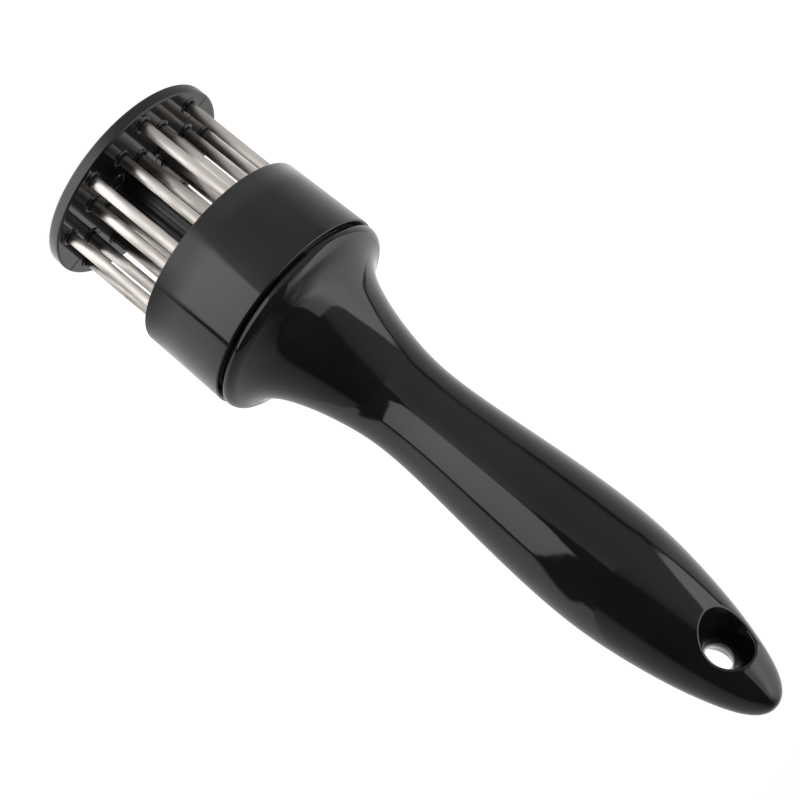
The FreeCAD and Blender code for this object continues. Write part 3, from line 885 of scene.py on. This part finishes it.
def noise(place, scale, detail=3.0, stretch=(1.0, 1.0, 1.0)):
    """Noise on the piece's own place in metres; scale is in patches per metre."""
    spread = first_of(place, "ShaderNodeMapping", {"Vector": place, "Scale": stretch})
    found = node(place, "ShaderNodeTexNoise", {"Vector": spread, "Scale": scale, "Detail": detail})
    return found.outputs["Fac"]


def mixed_colour(share, first, second):
    mix = node(share, "ShaderNodeMix", {0: share, 6: first, 7: second}, data_type="RGBA")
    return mix.outputs[2]


def bumps(height, depth):
    return first_of(height, "ShaderNodeBump", {"Height": height, "Distance": depth})


def grey(level, tint=(1.0, 1.0, 1.0)):
    return tuple(level * part for part in tint) + (1.0,)


def seam_line(place, turn):
    """1 on a fine mould seam that runs across the moulding, turned about its axis."""
    parts = parts_of(place)
    across = minus(times(parts["X"], math.sin(turn)), times(parts["Y"], math.cos(turn)))
    return fading(math_node("ABSOLUTE", across), 0.2 * MM, 0.42 * MM)


def moulded_plastic(name, level, gloss, seam=None):
    """Glossy black moulding: faint flow shading, an orange-peel skin and fine handling marks."""
    material, shader, place = new_material(name)
    flow = between(noise(place, 55.0, detail=4.0), 0.35, 0.68)
    deep = grey(level * 0.75)
    pale = grey(level * 1.35, (1.0, 1.0, 1.04))
    haze = between(noise(place, 210.0, detail=5.0), 0.3, 0.75, gloss, gloss + 0.035)
    marks = noise(place, 1500.0, detail=2.0, stretch=(1.0, 1.0, 0.12))
    dullness = plus(haze, between(marks, 0.6, 0.78, 0.0, 0.05))
    if seam is not None:
        seam_dullness = times(seam_line(place, seam), 0.7)
        dullness = math_node("MAXIMUM", dullness, seam_dullness)
    peel = noise(place, 480.0, detail=2.0)
    grain = times(noise(place, 2600.0, detail=2.0), 0.12)
    fill_inputs(shader, {
        "Base Color": mixed_colour(flow, deep, pale),
        "Roughness": dullness,
        "Normal": bumps(plus(peel, grain), 0.000005),
    })
    return material


def ground_steel(name, colour, roughness, marks, depth, drawn=0.0):
    """Bright steel with fine marks round each turned piece; drawn steel spreads light sideways."""
    material, shader, place = new_material(name)
    run = (0.06, 0.06, 1.0)
    if drawn > 0.0:
        run = (1.0, 1.0, 0.04)
        along = first_of(place, "ShaderNodeCombineXYZ", {"Z": 1.0})
        fill_inputs(shader, {"Tangent": along, "Anisotropic": drawn, "Anisotropic Rotation": 0.25})
    lines = noise(place, marks, stretch=run)
    fine = noise(place, marks * 2.7, detail=2.0, stretch=run)
    cloud = noise(place, 260.0, detail=4.0)
    smudge = between(cloud, 0.3, 0.75, roughness * 0.8, roughness * 1.25)
    fill_inputs(shader, {
        "Metallic": 1.0,
        "Base Color": mixed_colour(cloud, grey(0.88, colour), grey(1.0, colour)),
        "Roughness": plus(smudge, times(lines, roughness * 0.3)),
        "Normal": bumps(plus(lines, fine), depth),
    })
    return material


def rolled_steel(name, colour, roughness):
    """Flat steel with the straight marks of the rolls."""
    material, shader, place = new_material(name)
    lines = noise(place, 1900.0, stretch=(0.05, 1.0, 1.0))
    fill_inputs(shader, {
        "Metallic": 1.0,
        "Base Color": mixed_colour(lines, grey(0.8, colour), grey(1.0, colour)),
        "Roughness": between(lines, 0.3, 0.7, roughness, roughness + 0.12),
        "Normal": bumps(lines, 0.000006),
    })
    return material


# ---- stage

CAMERA_AZIMUTH = math.radians(29.5)
CAMERA_DISTANCE = 517.4
CAMERA_HEIGHT = 225.3
AIM_HEIGHT = 88.8
AIM_RIGHT = 0.39
CAMERA_LENS = 102.86
PICTURE_TURN = math.radians(129.3)
TOWARDS_CAMERA = Vector((math.sin(CAMERA_AZIMUTH), -math.cos(CAMERA_AZIMUTH), 0.0))
RIGHT_OF_CAMERA = Vector((math.cos(CAMERA_AZIMUTH), math.sin(CAMERA_AZIMUTH), 0.0))
UP = Vector((0.0, 0.0, 1.0))

# Dull surfaces see one plain level all round; glossy ones see the window, the walls and the table.
ROOM_LEVEL = 0.55
LEDGE_LEVEL = 0.22
# Painted shade of the table in front, the dark gap by the sheet, and how deep the tool's painted shadow
# is, all in the floor's painted reflection.
DARK_FRONT_LEVEL = 0.09
GAP_LEVEL = 0.12
SHADOW_DEPTH = 0.65

# The floor in metres, its colour under the lamps, and its colour and glow as it is seen directly.
FLOOR_REACH = 6.0
FLOOR_HEIGHT = -0.0002
FLOOR_LIT = 0.80
FLOOR_SEEN = 0.30
FLOOR_GLOW = 0.86
LAMP_AIM = UP * 0.09


def place_camera():
    spot = TOWARDS_CAMERA * CAMERA_DISTANCE * MM + UP * (CAMERA_HEIGHT * MM)
    aim = RIGHT_OF_CAMERA * AIM_RIGHT * MM + UP * (AIM_HEIGHT * MM)
    back = (spot - aim).normalized()
    across = UP.cross(back).normalized()
    upright = back.cross(across)
    side = across * math.cos(PICTURE_TURN) + upright * math.sin(PICTURE_TURN)
    top = back.cross(side)
    data = bpy.data.cameras.new("camera")
    data.sensor_width = 36.0
    data.lens = CAMERA_LENS
    data.clip_start = 0.01
    data.clip_end = 50.0
    camera = placed("camera", data)
    rows = [[side[i], top[i], back[i], spot[i]] for i in range(3)] + [[0.0, 0.0, 0.0, 1.0]]
    camera.matrix_world = Matrix(rows)
    bpy.context.scene.camera = camera


def level_line(value, *stops):
    """A level that follows straight runs between (value, level) stops."""
    low = stops[0][0]
    high = stops[-1][0]
    top = max(level for _, level in stops)
    ramp = node(value, "ShaderNodeValToRGB", {0: between(value, low, high, smooth=False)})
    points = ramp.color_ramp.elements
    for at, _ in stops[1:-1]:
        points.new((at - low) / (high - low))
    for point, (_, level) in zip(points, stops):
        point.color = grey(level / top)
    return times(ramp.outputs["Color"], top)


def mixed(share, first, second):
    """first where the share is 0, second where it is 1."""
    return plus(first, times(minus(second, first), share))


def way_round(vector):
    """Angle round the object in degrees, 0 towards the front and rising to the right."""
    shares = []
    for way in (RIGHT_OF_CAMERA, TOWARDS_CAMERA):
        dot = node(vector, "ShaderNodeVectorMath", {0: vector, 1: way}, operation="DOT_PRODUCT")
        shares.append(dot.outputs["Value"])
    return times(math_node("ARCTAN2", *shares), DEGREES)


def past(value, edge, soft):
    """0 below the edge, 1 above it, eased over the soft width."""
    return between(math_node("DIVIDE", minus(value, edge), soft), -1.0, 1.0)


def short_of(value, edge, soft):
    """1 below the edge, 0 above it, eased over the soft width."""
    return minus(1.0, past(value, edge, soft))


def ray_kinds(near):
    """1 for a ray that a glossy surface mirrors, and 1 for a ray that goes straight to the eye."""
    path = node(near, "ShaderNodeLightPath").outputs
    straight = math_node("MAXIMUM", path["Is Camera Ray"], path["Is Transmission Ray"])
    return path["Is Glossy Ray"], straight


def light_the_room():
    """A pale room: a tall window on the left, a dim front and a grey wall on the right."""
    world = bpy.data.worlds.new("room")
    bpy.context.scene.world = world
    world.use_nodes = True
    tree = world.node_tree
    direction = node(tree, "ShaderNodeTexCoord").outputs["Generated"]
    angle = way_round(direction)
    rise = times(math_node("ARCSINE", parts_of(direction)["Z"]), DEGREES)
    slant = between(rise, 0, 28, -11, 12, smooth=False)
    lean = times(band(angle, (-60, -40), (0, 40)), slant)
    walls = level_line(
        plus(angle, lean),
        (-180, 0.95), (-150, 1.03), (-130, 0.95), (-110, 0.78), (-97, 0.70), (-89, 0.28),
        (-82, 0.33), (-73, 0.44), (-58, 0.47), (-34, 0.42), (-22, 0.35), (-17, 0.30),
        (-14, 0.20), (-11.5, 0.10), (-6, 0.07), (64, 0.05), (67, 0.07), (71, 0.29),
        (80, 0.42), (100, 0.50), (130, 0.60), (160, 0.68), (180, 0.95),
    )
    walls = times(walls, between(rise, 45, 82, 1.0, 0.12))
    window = level_line(
        angle,
        (-180, 0.85), (-160, 1.0), (-145, 1.15), (-125, 1.35), (-108, 1.65), (-90, 1.85),
        (-75, 2.25), (-60, 2.40), (-50, 2.05), (-42, 1.45), (-34, 1.15), (-20, 1.05),
        (0, 0.9), (180, 0.85),
    )
    window = times(window, between(rise, 60, 90, 1.0, 0.15))
    sill = level_line(
        angle,
        (-180, 10), (-112, 10), (-98, 5), (-90, 0.5), (-80, 1), (-72, 6), (-64, 12),
        (-57, 20), (-50, 27), (-44, 30.5), (-32, 32), (-19, 34), (0, 34), (180, 34),
    )
    pane = times(past(rise, sill, 1.6), fading(angle, -20, -16.5))
    room = mixed(pane, walls, window)
    off_ledge = math_node("ABSOLUTE", minus(rise, minus(sill, 1.0)))
    ledge = times(fading(off_ledge, 0.8, 2.6), band(angle, (-150, -125), (-92, -84)))
    room = mixed(ledge, room, LEDGE_LEVEL)
    turned_away = between(math_node("ABSOLUTE", angle), 120, 178)
    dusk = times(turned_away, between(rise, 26, 60, 0.0, 0.75))
    room = times(room, minus(1.0, dusk))
    mirrored, straight = ray_kinds(tree)
    level = mixed(straight, mixed(mirrored, ROOM_LEVEL, room), 1.0)
    fill_inputs(tree.nodes["Background"], {"Color": grey(1.0), "Strength": level})


def plain_table(angle, away):
    """The bare table as the floor's painted reflection shows it: its light round the object, close to
    it and further away.
    """
    near = level_line(
        angle,
        (-180, 0.85), (-150, 0.95), (-135, 1.02), (-120, 0.93), (-105, 0.78), (-90, 0.65),
        (-78, 0.52), (-70, 0.56), (-40, 0.57), (-15, 0.65), (-5, 0.78), (2, 0.95), (10, 1.1),
        (60, 1.35), (70, 1.42), (85, 1.28), (100, 1.16), (125, 1.1), (150, 0.98), (180, 0.85),
    )
    pale_ring = times(between(away, 0.04, 0.05), between(away, 0.09, 0.11, 0.45, 0.0))
    pale_patch = times(band(angle, (-160, -120), (-40, 0)), pale_ring)
    near = times(near, plus(pale_patch, 1.0))
    far = level_line(
        plus(angle, between(away, 0.7, 2.2, 0, 6)),
        (-180, 0.95), (-155, 1.0), (-140, 1.04), (-125, 0.90), (-105, 0.70), (-94, 0.60),
        (-87, 0.56), (-83.5, 0.18), (-81, 0.09), (-78.5, 0.12), (-75, 0.38), (-67, 0.47),
        (-60, 0.48), (-30, 0.45), (-10, 0.46), (2, 0.55), (60, 0.6), (71, 0.9), (80, 1.05),
        (95, 0.90), (115, 0.80), (140, 0.66), (165, 0.60), (180, 0.75),
    )
    return mixed(between(away, 0.15, 0.4), near, far)


def dark_front(angle, away):
    """1 on the far part of the table in front, which the window doesn't reach."""
    left = level_line(
        away,
        (0, 9), (0.34, 9), (0.42, 6), (0.5, 3), (0.6, 1.5), (0.8, 0.5), (1, -0.5), (2, -3),
    )
    right = level_line(away, (0, 66), (0.54, 68), (0.7, 80), (0.85, 87), (1, 91), (1.3, 93), (2, 80))
    span = times(past(angle, left, 2.0), short_of(angle, right, 4.0))
    return times(span, between(away, 0.33, 0.42))


def sheet_gap(angle, away):
    """1 in the dark line along the right edge of the white sheet."""
    middle = level_line(away, (0, 63), (0.1, 63.5), (0.15, 65), (0.35, 68.5), (2, 69))
    off_middle = math_node("ABSOLUTE", minus(angle, middle))
    return times(fading(off_middle, 1.0, 3.4), band(away, (0.05, 0.13), (0.6, 0.7)))


def painted_white_sheet(angle, away):
    """1 on the painted white sheet at the front right, a glow that only mirroring surfaces see, with
    edges that blur close to the object.
    """
    left = level_line(
        away,
        (0, 1.5), (0.1, 3.5), (0.15, 5.5), (0.3, 8), (0.4, 8.7), (0.5, 11), (0.6, 15),
        (0.8, 18.5), (1, 22), (2, 30),
    )
    right = level_line(away, (0, 60.5), (0.1, 61.5), (0.15, 62.5), (0.3, 64.5), (0.54, 66.5), (2, 68))
    end = level_line(
        angle,
        (0, 0.9), (15, 0.88), (20, 0.80), (22, 0.76), (25, 0.72), (30, 0.68), (40, 0.64),
        (55, 0.59), (68, 0.54), (90, 0.5),
    )
    blur = level_line(away, (0, 26), (0.04, 20), (0.1, 5), (0.2, 0.9), (2, 0.8))
    span = times(past(angle, left, blur), short_of(angle, right, blur))
    return times(span, short_of(away, end, 0.02))


def painted_table_level(place):
    """How bright the table is in a mirroring surface: painted reflection of the table and the sheet,
    with a painted shadow of the tool.
    """
    angle = way_round(place)
    away = node(place, "ShaderNodeVectorMath", {0: place}, operation="LENGTH").outputs["Value"]
    table = plain_table(angle, away)
    table = mixed(dark_front(angle, away), table, DARK_FRONT_LEVEL)
    table = mixed(sheet_gap(angle, away), table, GAP_LEVEL)
    sheet_level = level_line(
        away,
        (0, 2.8), (0.042, 2.75), (0.055, 2.0), (0.095, 2.0), (0.115, 2.72), (0.15, 2.62),
        (0.25, 2.3), (0.35, 2.02), (0.6, 1.9), (2, 1.8),
    )
    sheet_level = times(sheet_level, between(angle, 25, 70, 1.0, 0.84))
    table = mixed(painted_white_sheet(angle, away), table, sheet_level)
    # Painted shadow of the tool on the mirrored table and sheet.
    shadow = times(between(angle, 24, 75), band(away, (0.04, 0.055), (0.075, 0.12)), SHADOW_DEPTH)
    return times(table, minus(1.0, shadow))


def lay_floor():
    """A plain pale floor; a glossy surface sees in its place a painted reflection of the table and the
    white sheet, as glow.
    """
    signs = ((-1, -1), (1, -1), (1, 1), (-1, 1))
    corners = [(x * FLOOR_REACH, y * FLOOR_REACH, FLOOR_HEIGHT) for x, y in signs]
    mesh = bpy.data.meshes.new("floor")
    mesh.from_pydata(corners, [], [(0, 1, 2, 3)])
    floor = placed("floor", mesh)
    material, _, place = new_material("pale_floor")
    # Glow that only glossy rays see: the painted reflection of the table, the sheet and the tool's
    # shadow.
    painted_reflection = first_of(place, "ShaderNodeEmission", {"Strength": painted_table_level(place)})
    lit = first_of(place, "ShaderNodeBsdfDiffuse", {"Color": grey(FLOOR_LIT)})
    pale = first_of(place, "ShaderNodeBsdfDiffuse", {"Color": grey(FLOOR_SEEN)})
    glow = first_of(place, "ShaderNodeEmission", {"Strength": FLOOR_GLOW})
    shown = first_of(place, "ShaderNodeAddShader", {0: pale, 1: glow})
    mirrored, straight = ray_kinds(place)
    unseen = first_of(place, "ShaderNodeMixShader", {0: mirrored, 1: lit, 2: painted_reflection})
    surface = first_of(place, "ShaderNodeMixShader", {0: straight, 1: unseen, 2: shown})
    fill_inputs(material.node_tree.nodes["Material Output"], {"Surface": surface})
    mesh.materials.append(material)


def hang_lamp(name, angle, rise, distance, size, watts):
    """A soft square lamp facing the object, at an angle round it counted from the front."""
    turn, lift = math.radians(angle), math.radians(rise)
    around = TOWARDS_CAMERA * math.cos(turn) + RIGHT_OF_CAMERA * math.sin(turn)
    towards = around * math.cos(lift) + UP * math.sin(lift)
    data = bpy.data.lights.new(name, "AREA")
    data.shape = "SQUARE"
    data.size = size
    data.energy = watts
    lamp = placed(name, data)
    lamp.location = towards * distance + LAMP_AIM
    lamp.rotation_euler = towards.to_track_quat("Z", "Y").to_euler()
    lamp.visible_glossy = False
    lamp.visible_camera = False


def set_the_stage():
    place_camera()
    light_the_room()
    lay_floor()
    hang_lamp("window_lamp", angle=-75.0, rise=48.0, distance=1.6, size=1.2, watts=22.0)
    hang_lamp("fill_lamp", angle=40.0, rise=55.0, distance=1.8, size=1.0, watts=8.0)
    bpy.context.scene.view_settings.view_transform = "Standard"


# ---- assembly

BLACK = 0.0042
MATERIALS = {
    "handle": moulded_plastic("handle_plastic_gloss", BLACK, 0.045),
    "head": moulded_plastic("head_plastic_gloss", BLACK, 0.045),
    "guard": moulded_plastic("guard_plastic_gloss", BLACK, 0.06, seam=GUARD_SEAM),
    "post": moulded_plastic("post_plastic_satin", BLACK, 0.24),
    "needle": ground_steel(
        "needle_steel_polished", (0.68, 0.637, 0.60), 0.30, marks=3600.0, depth=0.0000002, drawn=1.0,
    ),
    "screw": ground_steel("screw_steel_turned", (0.70, 0.70, 0.69), 0.24, marks=7000.0, depth=0.000003),
    "spring": ground_steel("spring_steel_drawn", (0.48, 0.47, 0.46), 0.3, marks=3000.0, depth=0.000003),
    "plate": rolled_steel("plate_steel_rolled", (0.62, 0.62, 0.61), 0.28),
}


def settle(piece, body, slot, *nodes):
    """Gives a finished piece its body and hides the solids that it stands for; its slot is not used."""
    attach(piece, body)
    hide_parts(*nodes)


def make(name, outlines, tree, looks, body, slot, *nodes, sharp=SHARP_ANGLE, **settings):
    """A whole piece from its outlines and its shape tree; looks names its material."""
    piece = shaped(name, outlines, tree, material=MATERIALS[looks], **settings)
    tidy_surface(piece, sharp)
    settle(piece, body, slot, *nodes)


def make_handle():
    side = handle_side()
    nose = NoseSurface(side)
    cutter = hole_cutter(nose)
    piece = shaped(
        "handle_moulding", [handle_outline(side)], pierced_handle_tree(),
        hole_cutter=cutter, material=MATERIALS["handle"],
    )
    bpy.data.objects.remove(cutter)
    line_hanging_hole(piece, nose)
    tidy_surface(piece)
    piece.data.materials.clear()
    piece.data.materials.append(MATERIALS["handle"])
    piece.data.polygons.foreach_set("material_index", [0] * len(piece.data.polygons))
    settle(piece, "handle_assembly", "handle_plastic", "handle")


def make_mouldings():
    pierced = pierced_tree()
    make(
        "needle_head_moulding", head_outlines(), pierced, "head",
        "handle_assembly", "head_plastic", "needle_head",
    )
    make(
        "guard_disc_moulding", guard_outlines(), pierced, "guard",
        "guard", "guard_plastic", "guard_disc",
    )
    make(
        "plunger_post_moulding", [post_outline()], turned_tree(), "post",
        "guard", "guard_plastic", "plunger_post",
    )


def make_needles():
    counts = {"outer": RING_PLACES, "middle": RING_PLACES, "inner": RING_PLACES - 1}
    names = [f"needle_{ring}_{place}" for ring in counts for place in range(1, counts[ring] + 1)]
    make(
        "needle_set", [needle_outline()], needle_tree(), "needle",
        "handle_assembly", "needle_steel", *names, sharp=NEEDLE_SHARP_ANGLE,
    )


def make_screws():
    tree = screw_tree()
    outline = screw_outline(
        HEAD_SCREW_BOTTOM, HEAD_SCREW_SEAT, HEAD_SCREW_TOP,
        HEAD_SCREW_HEAD_RADIUS, HEAD_SCREW_SHANK_RADIUS, countersunk=False,
    )
    make(
        "head_screw_set", [outline], tree, "screw", "handle_assembly", "screw_steel", "head_screws",
        head_face=HEAD_SCREW_BOTTOM * MM, ring_radius=SCREW_RING * MM, places=SCREW_PLACES,
    )
    outline = screw_outline(
        POST_SCREW_BOTTOM, POST_SCREW_BOTTOM + POST_SCREW_HEAD_HEIGHT, POST_SCREW_TOP,
        POST_SCREW_HEAD_RADIUS, POST_SCREW_SHANK_RADIUS, countersunk=True,
    )
    make(
        "post_foot_screw", [outline], tree, "screw", "guard", "screw_steel", "post_screw",
        head_face=POST_SCREW_BOTTOM * MM,
    )


def make_spring():
    start = [(0.0, 0.0), (1.0, 0.0)]
    piece = shaped("spring_coil", [start], spring_tree(), material=MATERIALS["spring"])
    tidy_surface(piece, COIL_SHARP_ANGLE)
    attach(piece, "handle_assembly")
    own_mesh(piece)
    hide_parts("return_spring")


def dress_kept_solids():
    """The hidden plate, washer and stop screw keep their solids and get worked steel."""
    for name, material in (("clamp_plate", "plate"), ("stop_washer", "screw"), ("stop_screw", "screw")):
        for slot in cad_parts[name].material_slots:
            slot.material = MATERIALS[material]


set_the_stage()
make_handle()
make_mouldings()
make_needles()
make_screws()
make_spring()
dress_kept_solids()
